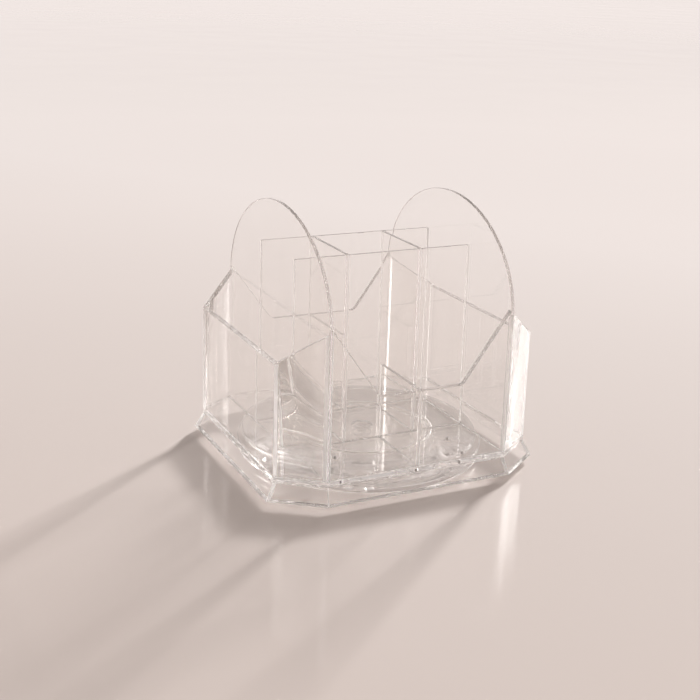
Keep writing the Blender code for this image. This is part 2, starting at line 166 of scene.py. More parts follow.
class OrganizerStage(bpy.types.PropertyGroup):
    """Colours and levels of the stage."""

    # Painted shade: the floor's darker colour at the front left, standing in for the key light falling off
    floor_near: bpy.props.FloatVectorProperty(
        name="Near floor", description="Colour of the pale floor in front of the object",
        subtype="COLOR", size=3, default=(0.672, 0.587, 0.547), min=0.0, max=1.0)
    # Painted light: the floor's lighter colour at the back right, where the key light would fall more
    # strongly
    floor_far: bpy.props.FloatVectorProperty(
        name="Far floor", description="Colour of the pale floor behind the object",
        subtype="COLOR", size=3, default=(0.81, 0.747, 0.722), min=0.0, max=1.0)
    low_sky: bpy.props.FloatVectorProperty(
        name="Low surroundings", description="Colour of the light from near the horizon",
        subtype="COLOR", size=3, default=(0.865, 0.790, 0.762), min=0.0, max=2.0)
    high_sky: bpy.props.FloatVectorProperty(
        name="High surroundings", description="Colour of the light from above",
        subtype="COLOR", size=3, default=(0.25, 0.226, 0.21), min=0.0, max=2.0)
    key_strength: bpy.props.FloatProperty(
        name="Key light", description="Strength of the soft key light from the right and behind",
        default=6.1, min=0.0)
    window_power: bpy.props.FloatProperty(
        name="Key window", description="Power of the window that glass shows in the key light's place",
        default=70.0, min=0.0, unit="POWER")
    side_power: bpy.props.FloatProperty(
        name="Side window", description="Power of the low window at the right",
        default=18.0, min=0.0, unit="POWER")
    window_colour: bpy.props.FloatVectorProperty(
        name="Window colour", description="Colour of the light from both windows",
        subtype="COLOR", size=3, default=(1.0, 0.965, 0.94), min=0.0, max=1.0)
    lens: bpy.props.FloatProperty(
        name="Lens", description="Focal length of the camera", default=62.8, min=1.0, unit="CAMERA")


def piece_from_mesh(name, mesh, body, nodes=()):
    """Links a mesh as a named piece that rides on a body and stands for the nodes given."""
    piece = bpy.data.objects.new(name, mesh)
    bpy.context.scene.collection.objects.link(piece)
    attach(piece, body)
    if nodes:
        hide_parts(*nodes)


def node_shape(node):
    """A CAD node's shape as a clean bmesh with whole flat faces."""
    bm = bmesh.new()
    bm.from_mesh(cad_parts[node].data)
    bmesh.ops.remove_doubles(bm, verts=bm.verts, dist=0.005 * MM)
    bmesh.ops.dissolve_limit(bm, angle_limit=math.radians(0.2), verts=bm.verts, edges=bm.edges)
    return bm


def finish_mesh(bm, name, materials, arris=0.0, across=None, smooth_under=30):
    """Breaks the corners, shades what is round, lays the grain and gives the mesh its materials."""
    sharp = math.radians(smooth_under)
    if arris:
        corners = [e for e in bm.edges if e.is_manifold and e.calc_face_angle(0.0) > sharp]
        bmesh.ops.bevel(bm, geom=corners, offset=arris, segments=1, affect="EDGES",
                        clamp_overlap=True, material=EDGE)
    bmesh.ops.recalc_face_normals(bm, faces=bm.faces)
    mesh = bpy.data.meshes.new(name)
    bm.to_mesh(mesh)
    bm.free()
    mesh.shade_smooth()
    mesh.set_sharp_from_angle(angle=sharp)
    grain = mesh.attributes.new("grain", "FLOAT_VECTOR", "POINT")
    for vertex, item in zip(mesh.vertices, grain.data):
        place = vertex.co
        item.vector = place - across * place.dot(across) * GRAIN_STRETCH if across else place
    for material in materials:
        mesh.materials.append(material)
    return mesh


def push(bm, way, distance):
    """Moves the face that looks most along a way, and marks it as cemented."""
    face = max(bm.faces, key=lambda f: f.normal.dot(way))
    for vertex in face.verts:
        vertex.co += way * distance
    face.material_index = FOOT if abs(way.z) > 0.5 else END


def prism(outline, depth):
    """A flat outline grown along a direction."""
    bm = bmesh.new()
    face = bm.faces.new([bm.verts.new(point) for point in outline])
    grown = bmesh.ops.extrude_face_region(bm, geom=[face])["geom"]
    moved = [item for item in grown if isinstance(item, bmesh.types.BMVert)]
    bmesh.ops.translate(bm, verts=moved, vec=depth)
    bmesh.ops.recalc_face_normals(bm, faces=bm.faces)
    bm.normal_update()
    return bm


def arc(centre, radii, start, end, steps):
    """Points of an elliptical arc, from a start angle to an end angle."""
    angles = [start + (end - start) * step / steps for step in range(steps + 1)]
    return [(centre[0] + radii[0] * math.cos(a), centre[1] + radii[1] * math.sin(a)) for a in angles]


def turned(profile, steps, closed=True):
    """A profile of radius and height turned about Z: a closed one makes a ring, an open one a solid."""
    bm = bmesh.new()
    points = [bm.verts.new((radius, 0.0, z)) for radius, z in profile]
    edges = [bm.edges.new(pair) for pair in zip(points, points[1:])]
    if closed:
        edges.append(bm.edges.new((points[-1], points[0])))
    bmesh.ops.spin(bm, geom=points + edges, cent=(0, 0, 0), axis=(0, 0, 1), angle=math.tau, steps=steps,
                   use_merge=True)
    bmesh.ops.remove_doubles(bm, verts=bm.verts, dist=0.001 * MM)
    bmesh.ops.recalc_face_normals(bm, faces=bm.faces)
    return bm


def rounded(profile, radius, corners, steps=5):
    """A profile with the corners of the numbers given rounded."""
    points = []
    for i, point in enumerate(profile):
        if i not in corners:
            points.append(point)
            continue
        here = Vector(point)
        before = (Vector(profile[i - 1]) - here).normalized()
        after = (Vector(profile[(i + 1) % len(profile)]) - here).normalized()
        middle = here + (before + after) * radius
        for step in range(steps + 1):
            turn = (math.pi / 2) * step / steps
            forward = after * radius * math.cos(turn)
            backward = before * radius * math.sin(turn)
            points.append(tuple(middle - forward - backward))
    return points


def merged(shapes):
    """Several bmeshes as one."""
    whole = bmesh.new()
    for shape in shapes:
        mesh = bpy.data.meshes.new("shape")
        shape.to_mesh(mesh)
        shape.free()
        whole.from_mesh(mesh)
        bpy.data.meshes.remove(mesh)
    return whole


def carved(bm, cutters):
    """A shape with the cutters' shapes taken out of it."""
    objects = []
    for name, shape in (("shape", bm), ("cutters", merged(cutters))):
        mesh = bpy.data.meshes.new(name)
        shape.to_mesh(mesh)
        shape.free()
        objects.append(bpy.data.objects.new(name, mesh))
        bpy.context.scene.collection.objects.link(objects[-1])
    modifier = objects[0].modifiers.new("holes", "BOOLEAN")
    modifier.solver = "EXACT"
    modifier.object = objects[1]
    view = bpy.context.evaluated_depsgraph_get()
    result = bmesh.new()
    result.from_mesh(bpy.data.meshes.new_from_object(objects[0].evaluated_get(view)))
    for item in objects:
        bpy.data.objects.remove(item, do_unlink=True)
    return result


def copies(bm, places):
    """One shape repeated at several places."""
    shapes = []
    for place in places:
        shape = bm.copy()
        bmesh.ops.translate(shape, verts=shape.verts, vec=place)
        shapes.append(shape)
    bm.free()
    return shapes


def effect_group(name, outputs, scale=None):
    """An empty shader node group that takes a vector and, if one is given, a scale, and its sockets."""
    group = bpy.data.node_groups.new(name, "ShaderNodeTree")
    group.interface.new_socket("Vector", in_out="INPUT", socket_type="NodeSocketVector")
    if scale:
        socket = group.interface.new_socket("Scale", in_out="INPUT", socket_type="NodeSocketFloat")
        socket.default_value = scale
    for label in outputs:
        group.interface.new_socket(label, in_out="OUTPUT", socket_type="NodeSocketFloat")
    given = group.nodes.new("NodeGroupInput").outputs
    return group, given, group.nodes.new("NodeGroupOutput").inputs


def feed(tree, socket, value):
    """Links an output to a socket, or sets the socket to a plain value."""
    if isinstance(value, bpy.types.NodeSocket):
        tree.links.new(value, socket)
    else:
        socket.default_value = value


def math_node(tree, operation, *values):
    """A math node on sockets or numbers, as its output."""
    node = tree.nodes.new("ShaderNodeMath")
    node.operation = operation
    for socket, value in zip(node.inputs, values):
        feed(tree, socket, value)
    return node.outputs[0]


def vector_node(tree, operation, output, *values):
    """A vector math node on sockets or vectors, as the output named."""
    node = tree.nodes.new("ShaderNodeVectorMath")
    node.operation = operation
    for socket, value in zip(node.inputs, values):
        feed(tree, socket, value)
    return node.outputs[output]


def ramp(tree, value, low, high):
    """A value stretched so that low gives 0 and high gives 1."""
    node = tree.nodes.new("ShaderNodeMapRange")
    for label, given in (("Value", value), ("From Min", low), ("From Max", high)):
        feed(tree, node.inputs[label], given)
    return node.outputs["Result"]


def noise(tree, vector, scale, detail=2.0, roughness=0.5):
    """A noise texture's value."""
    node = tree.nodes.new("ShaderNodeTexNoise")
    values = {"Vector": vector, "Scale": scale, "Detail": detail, "Roughness": roughness}
    for label, value in values.items():
        feed(tree, node.inputs[label], value)
    return node.outputs["Fac"]


def cells(tree, vector, scale):
    """A cell texture's distance to the nearest point."""
    node = tree.nodes.new("ShaderNodeTexVoronoi")
    feed(tree, node.inputs["Vector"], vector)
    feed(tree, node.inputs["Scale"], scale)
    return node.outputs["Distance"]


def cast_waves():
    """Shared effect: the slow waves of a cast sheet, as a height."""
    group, given, result = effect_group("cast_waves", ["Height"])
    slow = noise(group, given["Vector"], 14.0, 1.0)
    fine = noise(group, given["Vector"], 70.0)
    group.links.new(math_node(group, "MULTIPLY_ADD", fine, 0.05, slow), result["Height"])
    return group


def cut_lines():
    """Shared effect: the fine lines that a cut leaves through a sheet, as a height and a mask."""
    group, given, result = effect_group("cut_lines", ["Height", "Mask"])
    lines = noise(group, given["Vector"], 1400.0, 2.0, 0.6)
    drift = noise(group, given["Vector"], 120.0)
    group.links.new(math_node(group, "MULTIPLY", lines, drift), result["Height"])
    group.links.new(ramp(group, drift, 0.45, 0.75), result["Mask"])
    return group


def cement_marks():
    """Shared effect: bubbles and bare patches in a cemented joint, as masks and a height."""
    group, given, result = effect_group("cement_marks", ["Bubbles", "Bare", "Height"])
    vector = given["Vector"]
    small = ramp(group, cells(group, vector, 900.0), 0.24, 0.14)
    large = ramp(group, cells(group, vector, 260.0), 0.22, 0.15)
    where = ramp(group, noise(group, vector, 90.0), 0.48, 0.60)
    bubbles = math_node(group, "MULTIPLY", math_node(group, "MAXIMUM", small, large), where)
    uneven = noise(group, vector, 420.0, 3.0)
    group.links.new(bubbles, result["Bubbles"])
    group.links.new(ramp(group, noise(group, vector, 75.0, 3.0, 0.6), 0.52, 0.60), result["Bare"])
    group.links.new(math_node(group, "MULTIPLY_ADD", uneven, 0.5, bubbles), result["Height"])
    return group


def handling():
    """Shared effect: a faint haze from wiping and specks of dust, as masks."""
    group, given, result = effect_group("handling", ["Haze", "Specks"])
    vector = given["Vector"]
    group.links.new(ramp(group, noise(group, vector, 22.0, 4.0, 0.6), 0.55, 0.80), result["Haze"])
    group.links.new(ramp(group, cells(group, vector, 160.0), 0.060, 0.035), result["Specks"])
    return group


def mould_flow():
    """Effect: the flow rings of a moulded disc, as a height."""
    group, given, result = effect_group("mould_flow", ["Height"])
    level = vector_node(group, "MULTIPLY", "Vector", given["Vector"], (1.0, 1.0, 0.0))
    radius = vector_node(group, "LENGTH", "Value", level)
    rings = math_node(group, "SINE", math_node(group, "MULTIPLY", radius, 900.0))
    waves = noise(group, given["Vector"], 26.0)
    group.links.new(math_node(group, "MULTIPLY_ADD", rings, 0.02, waves), result["Height"])
    return group


def fine_grain():
    """Shared effect: fine grain of satin plastic, rubber or metal, as a height and a mask."""
    group, given, result = effect_group("fine_grain", ["Height", "Mask"], scale=1500.0)
    patches = noise(group, given["Vector"], 90.0, 3.0)
    group.links.new(noise(group, given["Vector"], given["Scale"], 4.0), result["Height"])
    group.links.new(ramp(group, patches, 0.40, 0.70), result["Mask"])
    return group


def effect(tree, maker, vector, scale=None):
    """A shared effect's outputs in a material, fed with a vector and, if one is given, a scale."""
    node = tree.nodes.new("ShaderNodeGroup")
    node.node_tree = bpy.data.node_groups.get(maker.__name__) or maker()
    tree.links.new(vector, node.inputs["Vector"])
    if scale:
        node.inputs["Scale"].default_value = scale
    return node.outputs


def roughen(tree, shader, mask, gain, base):
    """Gives a shader a base roughness, and a gain more where the mask is 1."""
    tree.links.new(math_node(tree, "MULTIPLY_ADD", mask, gain, base), shader.inputs["Roughness"])


def relief(tree, shader, height, depth):
    """Gives a shader's surface a relief of a depth in metres."""
    node = tree.nodes.new("ShaderNodeBump")
    node.inputs["Distance"].default_value = depth
    tree.links.new(height, node.inputs["Height"])
    tree.links.new(node.outputs["Normal"], shader.inputs["Normal"])


def blend(tree, factor, first, second):
    """Two colours mixed by a factor."""
    node = tree.nodes.new("ShaderNodeMix")
    node.data_type = "RGBA"
    tree.links.new(factor, node.inputs[0])
    node.inputs[6].default_value = (*first, 1.0)
    node.inputs[7].default_value = (*second, 1.0)
    return node.outputs[2]


def new_material(name, colour, roughness, index=1.5, transmission=0.0, metallic=0.0, along_grain=False):
    """A material with plain values on its shader, and its tree, shader and coordinates."""
    material = bpy.data.materials.new(name)
    material.use_nodes = True
    tree = material.node_tree
    shader = tree.nodes["Principled BSDF"]
    shader.inputs["Base Color"].default_value = (*colour, 1.0)
    shader.inputs["Roughness"].default_value = roughness
    shader.inputs["IOR"].default_value = index
    shader.inputs["Transmission Weight"].default_value = transmission
    shader.inputs["Metallic"].default_value = metallic
    if along_grain:
        grain = tree.nodes.new("ShaderNodeAttribute")
        grain.attribute_name = "grain"
        return material, tree, shader, grain.outputs["Vector"]
    return material, tree, shader, tree.nodes.new("ShaderNodeTexCoord").outputs["Object"]


def clear_acrylic(name, roughness=0.0, colour=None, along_grain=False):
    """A clear material with the sheets' refractive index and, if no other colour is given, their tint."""
    sheets = bpy.context.scene.organizer_sheets
    return new_material(name, colour or sheets.tint, roughness, sheets.index, 1.0, along_grain=along_grain)


def let_light_pass(tree, shader, clarity):
    """Lets shadow and diffuse rays straight through clear plastic, less what its surface reflects."""
    rays = tree.nodes.new("ShaderNodeLightPath")
    facing = tree.nodes.new("ShaderNodeLayerWeight")
    facing.inputs["Blend"].default_value = 0.5
    glare = math_node(tree, "POWER", facing.outputs["Facing"], GRAZING_POWER)
    passing = math_node(tree, "MULTIPLY_ADD", glare, -clarity, clarity)
    chosen = math_node(tree, "MAXIMUM", rays.outputs["Is Shadow Ray"], rays.outputs["Is Diffuse Ray"])
    let_through = math_node(tree, "MULTIPLY", chosen, passing)
    tree.links.new(math_node(tree, "MULTIPLY_ADD", let_through, -1.0, 1.0), shader.inputs["Alpha"])


def polished_sheet(name="polished_sheet", clarity=0.985):
    """The sheets' faces: clear, with slow casting waves, specks of dust and a faint haze."""
    material, tree, shader, place = clear_acrylic(name)
    marks = effect(tree, handling, place)
    haze = math_node(tree, "MULTIPLY", marks["Haze"], 0.02)
    roughen(tree, shader, marks["Specks"], 0.35, haze)
    relief(tree, shader, effect(tree, cast_waves, place)["Height"], 0.06 * MM)
    let_light_pass(tree, shader, clarity)
    return material


def polished_skirt():
    """The skirt's faces: those of a sheet that throws more of the low light aside."""
    return polished_sheet("polished_skirt", clarity=0.5)


def polished_edge():
    """The sheets' free edges: clear, with fine cut lines through the thickness."""
    material, tree, shader, grain = clear_acrylic("polished_edge", along_grain=True)
    lines = effect(tree, cut_lines, grain)
    roughen(tree, shader, lines["Mask"], 0.012, 0.004)
    relief(tree, shader, lines["Height"], 0.0006 * MM)
    let_light_pass(tree, shader, clarity=0.5)
    return material


def cemented_edge():
    """The level edges inside the joints: frosted by the saw, wetted by cement in patches, with bubbles."""
    material, tree, shader, place = clear_acrylic("cemented_edge", 0.3, (1.0, 1.0, 1.0))
    marks = effect(tree, cement_marks, place)
    frosted = math_node(tree, "MULTIPLY_ADD", marks["Bare"], 0.35, 0.10)
    roughen(tree, shader, marks["Bubbles"], 0.30, frosted)
    colour = blend(tree, marks["Bubbles"], (1.0, 0.995, 0.99), (0.78, 0.73, 0.70))
    tree.links.new(colour, shader.inputs["Base Color"])
    relief(tree, shader, marks["Height"], 0.03 * MM)
    let_light_pass(tree, shader, clarity=0.7)
    return material


def cemented_end():
    """The upright edges inside the joints: evenly frosted, with faint cut lines."""
    material, tree, shader, grain = clear_acrylic("cemented_end", 0.25, (1.0, 1.0, 1.0), along_grain=True)
    lines = effect(tree, cut_lines, grain)
    roughen(tree, shader, lines["Mask"], 0.06, 0.28)
    relief(tree, shader, lines["Height"], 0.001 * MM)
    let_light_pass(tree, shader, clarity=0.7)
    return material


def cement_bead():
    """Dried cement: clear, slightly uneven, with tiny bubbles."""
    material, tree, shader, place = clear_acrylic("cement_bead", 0.05, (1.0, 0.995, 0.99))
    marks = effect(tree, cement_marks, place)
    roughen(tree, shader, marks["Bubbles"], 0.4, 0.03)
    relief(tree, shader, marks["Height"], 0.02 * MM)
    let_light_pass(tree, shader, clarity=0.9)
    return material


def upright_bead():
    """Cement drawn into an upright corner: clear, smooth and hardly uneven."""
    material, tree, shader, place = clear_acrylic("upright_bead", 0.05, (1.0, 0.995, 0.99))
    slow = noise(tree, place, 60.0)
    tree.links.new(ramp(tree, slow, -0.6, 8.0), shader.inputs["Roughness"])
    relief(tree, shader, slow, 0.02 * MM)
    let_light_pass(tree, shader, clarity=0.95)
    return material


def moulded_disc():
    """The turntable's discs: clear moulded acrylic with faint flow rings."""
    material, tree, shader, place = clear_acrylic("moulded_disc", 0.01)
    marks = effect(tree, handling, place)
    specks = math_node(tree, "MULTIPLY", marks["Specks"], 0.3)
    roughen(tree, shader, marks["Haze"], 0.03, specks)
    relief(tree, shader, effect(tree, mould_flow, place)["Height"], 0.02 * MM)
    let_light_pass(tree, shader, clarity=0.99)
    return material


def ball_track():
    """The grooves that the balls run in: the discs' acrylic, rubbed to a satin by rolling."""
    material, tree, shader, place = clear_acrylic("ball_track", 0.35)
    grain = effect(tree, fine_grain, place)
    roughen(tree, shader, grain["Mask"], 0.10, 0.32)
    relief(tree, shader, grain["Height"], 0.003 * MM)
    let_light_pass(tree, shader, clarity=0.95)
    return material


def clear_pivot():
    """The pivot's parts and the cage: clear plastic with a fine satin grain."""
    material, tree, shader, place = new_material("clear_pivot", (0.97, 0.96, 0.95), 0.12, 1.5, 1.0)
    grain = effect(tree, fine_grain, place)
    roughen(tree, shader, grain["Mask"], 0.10, 0.08)
    relief(tree, shader, grain["Height"], 0.005 * MM)
    let_light_pass(tree, shader, clarity=0.9)
    return material


def glass_ball():
    """The bearing balls: clear glass, faintly worn by rolling."""
    material, tree, shader, place = new_material("glass_ball", (0.97, 0.98, 0.98), 0.0, 1.52, 1.0)
    roughen(tree, shader, effect(tree, fine_grain, place)["Mask"], 0.06, 0.0)
    let_light_pass(tree, shader, clarity=0.8)
    return material


def darkened_steel():
    """The screws: darkened steel with a fine grain and brighter worn spots."""
    steel = bpy.context.scene.organizer_turntable.steel
    material, tree, shader, place = new_material("darkened_steel", steel, 0.35, metallic=1.0)
    grain = effect(tree, fine_grain, place, scale=2600.0)
    worn = tuple(min(1.0, 2.2 * value) for value in steel)
    tree.links.new(blend(tree, grain["Mask"], steel, worn), shader.inputs["Base Color"])
    roughen(tree, shader, grain["Mask"], -0.12, 0.42)
    relief(tree, shader, grain["Height"], 0.02 * MM)
    return material


def clear_silicone():
    """The feet: translucent soft silicone with a matt grain."""
    material, tree, shader, place = new_material("clear_silicone", (0.93, 0.91, 0.89), 0.4, 1.41, 0.85)
    grain = effect(tree, fine_grain, place)
    roughen(tree, shader, grain["Mask"], 0.15, 0.35)
    relief(tree, shader, grain["Height"], 0.03 * MM)
    return material


def satin_floor_painted_shade():
    """The floor: pale, satin, a little uneven, and with painted shade: its colour goes from darker at the
    front left to lighter at the back right, as the key light's fall-off would.
    """
    stage = bpy.context.scene.organizer_stage
    material, tree, shader, place = new_material("satin_floor_painted_shade", stage.floor_near, 0.08)
    # Painted shade: the base colour is blended from the shaded near colour to the lit far colour along the
    # way of the key light's fall-off
    along = vector_node(tree, "DOT_PRODUCT", "Value", place, FLOOR_SHADE_WAY)
    colour = blend(tree, ramp(tree, along, *FLOOR_SHADE_STRETCH), stage.floor_near, stage.floor_far)
    tree.links.new(colour, shader.inputs["Base Color"])
    roughen(tree, shader, ramp(tree, noise(tree, place, 3.0, 3.0), 0.3, 0.7), 0.03, 0.07)
    relief(tree, shader, noise(tree, place, 35.0), 0.02 * MM)
    return material


def finishes(*makers):
    """The materials that the functions given make, each made at its first use."""
    return [bpy.data.materials.get(maker.__name__) or maker() for maker in makers]


def side_ways(side):
    """The outward and lengthwise directions of one of the eight sides."""
    x = -1 if "left" in side else 1 if "right" in side else 0
    y = -1 if "front" in side else 1 if "back" in side else 0
    out = Vector((SLANT.x * x, SLANT.y * y, 0)) if x and y else Vector((x, y, 0))
    return out.normalized(), Vector((-out.y, out.x, 0)).normalized()


def dress_sheet(node, joints, bm=None, face=polished_sheet, broken=True):
    """Makes a sheet's visible piece, with broken corners and its cemented edges sunk in their neighbours.

    A joint is the way that its edge looks and the gap there. An edge without a gap stays where it is.
    """
    sheets = bpy.context.scene.organizer_sheets
    bm = bm or node_shape(node)
    across = max(bm.faces, key=lambda f: f.calc_area()).normal.copy()
    for side in bm.faces:
        side.material_index = FACE if abs(side.normal.dot(across)) > 0.9 else EDGE
    for way, gap in joints:
        push(bm, way, gap + sheets.sink if gap else 0.0)
    materials = finishes(face, polished_edge, cemented_edge, cemented_end)
    arris = sheets.arris if broken else 0.0
    mesh = finish_mesh(bm, node + "_sheet", materials, arris, across)
    piece_from_mesh(node + "_sheet", mesh, "organizer", [node])


class ORGANIZER_OT_floor_plate(bpy.types.Operator):
    """Makes the octagonal floor plate with its blind screw holes"""

    bl_idname = "organizer.floor_plate"
    bl_label = "Floor plate"

    def execute(self, context):
        dress_sheet("floor_plate", [])
        return {"FINISHED"}


def notched_outline(low, high, notch):
    """A front or back wall from the front: a low middle, and edges that rise from it to both ends."""
    turn = math.atan(NOTCH_RISE)
    half = high.x - (high.z - notch) / NOTCH_RISE
    start = half - NOTCH_ROUND * math.tan(turn / 2)
    corner = arc((start, notch + NOTCH_ROUND), (NOTCH_ROUND, NOTCH_ROUND),
                 turn - math.pi / 2, -math.pi / 2, 12)
    right = [(high.x, low.z), (high.x, high.z)] + corner
    return right + [(-x, z) for x, z in right[::-1]]


class ORGANIZER_OT_outer_walls(bpy.types.Operator):
    """Makes the notched front and back walls and the left and right walls"""

    bl_idname = "organizer.outer_walls"
    bl_label = "Outer walls"

    def execute(self, context):
        for node, divider in (("front_wall", "front_low_divider"), ("back_wall", "back_low_divider")):
            low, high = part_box(node)
            outline = notched_outline(low, high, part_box(divider)[1].z)
            bm = prism([(x, low.y, z) for x, z in outline], (0, high.y - low.y, 0))
            dress_sheet(node, [(DOWN, GAP), (LEFT, GAP), (RIGHT, GAP)], bm)
        for node in ("left_wall", "right_wall"):
            dress_sheet(node, [(DOWN, GAP), (FRONT, GAP / 2), (BACK, GAP / 2)])
        return {"FINISHED"}


class ORGANIZER_OT_corner_walls(bpy.types.Operator):
    """Makes the four slanted corner walls with their rising tops"""

    bl_idname = "organizer.corner_walls"
    bl_label = "Corner walls"

    def execute(self, context):
        for side in SIDES:
            if "_" not in side:
                continue
            out, _ = side_ways(side)
            x_sign, y_sign = math.copysign(1, out.x), math.copysign(1, out.y)
            outward = Vector((abs(out.y) * x_sign, -abs(out.x) * y_sign, 0))
            inward = Vector((-x_sign, 0, 0))
            dress_sheet(side + "_corner_wall", [(DOWN, GAP), (outward, GAP / 2), (inward, GAP)])
        return {"FINISHED"}


def arch_outline(low, high):
    """An arch panel from the side: upright edges under a half ellipse."""
    spring = FLOOR_TOP + ARCH_SPRING
    middle, half = (low.y + high.y) / 2, (high.y - low.y) / 2
    top = arc((middle, spring), (half, high.z - spring), 0, math.pi, ARCH_STEPS)
    return [(low.y, low.z), (high.y, low.z)] + top


class ORGANIZER_OT_arch_panels(bpy.types.Operator):
    """Makes the two tall panels with round tops"""

    bl_idname = "organizer.arch_panels"
    bl_label = "Arch panels"

    def execute(self, context):
        for node in ("left_arch_panel", "right_arch_panel"):
            low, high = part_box(node)
            bm = prism([(low.x, y, z) for y, z in arch_outline(low, high)], (high.x - low.x, 0, 0))
            dress_sheet(node, [(DOWN, GAP)], bm)
        return {"FINISHED"}


class ORGANIZER_OT_inner_panels(bpy.types.Operator):
    """Makes the tall panels across and the dividers between the compartments"""

    bl_idname = "organizer.inner_panels"
    bl_label = "Inner panels"

    def execute(self, context):
        for node in ("front_tall_panel", "back_tall_panel"):
            dress_sheet(node, [(DOWN, GAP), (LEFT, GAP), (RIGHT, GAP)])
        for node in ("left_cross_divider", "right_cross_divider", "front_low_divider", "back_low_divider"):
            dress_sheet(node, [(DOWN, GAP), (FRONT, GAP), (BACK, GAP)])
        return {"FINISHED"}


class ORGANIZER_OT_skirt(bpy.types.Operator):
    """Makes the eight flared strips under the floor plate's rim"""

    bl_idname = "organizer.skirt"
    bl_label = "Skirt"

    def execute(self, context):
        for side in SIDES:
            _, along = side_ways(side)
            joints = [(UP, GAP), (along, 0), (-along, 0)]
            dress_sheet(side + "_skirt", joints, face=polished_skirt, broken=False)
        return {"FINISHED"}


def rectangle(x_low, x_high, y_low, y_high):
    """The corners of a compartment's plan, anticlockwise."""
    return [Vector((x_low, y_low)), Vector((x_high, y_low)), Vector((x_high, y_high)),
            Vector((x_low, y_high))]


def inset(plan, distance):
    """A plan's corners moved in by a distance: the plan runs anticlockwise."""
    moved = []
    for i, corner in enumerate(plan):
        before = (corner - plan[i - 1]).normalized()
        after = (plan[(i + 1) % len(plan)] - corner).normalized()
        in_before = Vector((-before.y, before.x))
        in_after = Vector((-after.y, after.x))
        bisector = (in_before + in_after).normalized()
        moved.append(corner + bisector * (distance / bisector.dot(in_before)))
    return moved


def bead_section(size, depth):
    """A bead's section as distances from both of its walls: a corner sunk in them and a hollow face."""
    hollow = arc((size, size), (size, size), math.pi, 1.5 * math.pi, 4)
    return [(-depth, -depth), (-depth, size)] + hollow + [(size, -depth)]


def level_beads(plan, section):
    """The beads round a compartment's floor, mitred at its corners."""
    bm = bmesh.new()
    rings = []
    for distance, height in section:
        corners = inset(plan, distance)
        rings.append([bm.verts.new((p.x, p.y, FLOOR_TOP + height)) for p in corners])
    for ring, following in zip(rings, rings[1:] + rings[:1]):
        for i in range(len(plan)):
            j = (i + 1) % len(plan)
            bm.faces.new((ring[i], ring[j], following[j], following[i]))
    return bm


def compartment_beads(name, plan, tops):
    """The cement beads of a compartment: round its floor, and up each corner to the height given."""
    sheets = bpy.context.scene.organizer_sheets
    depth = BEAD_DEPTH * sheets.sink
    shapes = [level_beads(plan, bead_section(sheets.bead, depth))]
    section = bead_section(UPRIGHT_WIDTH * sheets.bead, depth)
    base = FLOOR_TOP + UPRIGHT_START * sheets.bead
    for i, top in enumerate(tops):
        before = (plan[i - 1] - plan[i]).normalized()
        after = (plan[(i + 1) % len(plan)] - plan[i]).normalized()
        outline = [plan[i] + before * a + after * b for a, b in section]
        upright = prism([(p.x, p.y, base) for p in outline], (0, 0, top - sheets.bead - base))
        for face in upright.faces:
            face.material_index = UPRIGHT
        shapes.append(upright)
    mesh = finish_mesh(merged(shapes), name, finishes(cement_bead, upright_bead), smooth_under=50)
    piece_from_mesh(name, mesh, "organizer")


class ORGANIZER_OT_cement(bpy.types.Operator):
    """Makes the beads of cement in the corners of the nine compartments"""

    bl_idname = "organizer.cement"
    bl_label = "Cement beads"

    def execute(self, context):
        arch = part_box("right_arch_panel")
        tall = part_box("back_tall_panel")
        low_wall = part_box("back_wall")
        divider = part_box("back_low_divider")
        self.middle_compartments(arch[0].x, tall)
        for depth, y_low, y_high in (("front", -low_wall[0].y, -tall[1].y),
                                     ("back", tall[1].y, low_wall[0].y)):
            self.bays(depth, divider, arch[0].x, y_low, y_high, tall[1].z)
        self.side_bays(arch[1].x)
        return {"FINISHED"}

    def middle_compartments(self, reach, tall):
        """The beads of the three tall compartments in the middle."""
        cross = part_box("right_cross_divider")
        for side, x_low, x_high in (("left", -reach, -cross[1].x), ("centre", -cross[0].x, cross[0].x),
                                    ("right", cross[1].x, reach)):
            plan = rectangle(x_low, x_high, -tall[0].y, tall[0].y)
            compartment_beads(f"middle_{side}_cement", plan, [tall[1].z] * 4)

    def bays(self, depth, divider, reach, y_low, y_high, tall_top):
        """The beads of both bays in front of the tall compartments, or behind them."""
        low_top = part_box(depth + "_low_divider")[1].z
        wall_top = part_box(depth + "_wall")[1].z
        for side, x_low, x_high in (("left", -reach, divider[0].x), ("right", divider[1].x, reach)):
            plan = rectangle(x_low, x_high, y_low, y_high)
            tops = []
            for x, y in plan:
                at_divider = abs(x) < reach / 2
                at_wall = abs(y) > abs(y_low + y_high) / 2
                tops.append(low_top if at_divider else wall_top if at_wall else tall_top)
            compartment_beads(f"{depth}_{side}_cement", plan, tops)

    def side_bays(self, x_low):
        """The beads of the two side bays, between an arch panel and the outer walls."""
        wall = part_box("right_wall")
        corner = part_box("back_right_corner_wall")
        out, _ = side_ways("back_right")
        face = Vector((wall[1].x, wall[1].y + GAP / 2)).dot(Vector((out.x, out.y))) - WALL
        x_high = wall[0].x
        y_low, y_high = (face - x_low * out.x) / out.y, (face - x_high * out.x) / out.y
        plan = [Vector((x_low, -y_low)), Vector((x_high, -y_high)), Vector((x_high, y_high)),
                Vector((x_low, y_low))]
        tops = [corner[1].z, wall[1].z, wall[1].z, corner[1].z]
        compartment_beads("right_bay_cement", plan, tops)
        mirrored = [Vector((-p.x, p.y)) for p in plan[::-1]]
        compartment_beads("left_bay_cement", mirrored, tops[::-1])


def groove(level, facing, steps=14):
    """Points of the ball groove in a disc face: facing is 1 for a top face and -1 for an underside."""
    reach = math.asin((BALL_Z - level) * facing / GROOVE_RADIUS)
    return arc((RACE_RADIUS, BALL_Z), (GROOVE_RADIUS, GROOVE_RADIUS),
               -facing * reach, -facing * (math.pi - reach), steps)


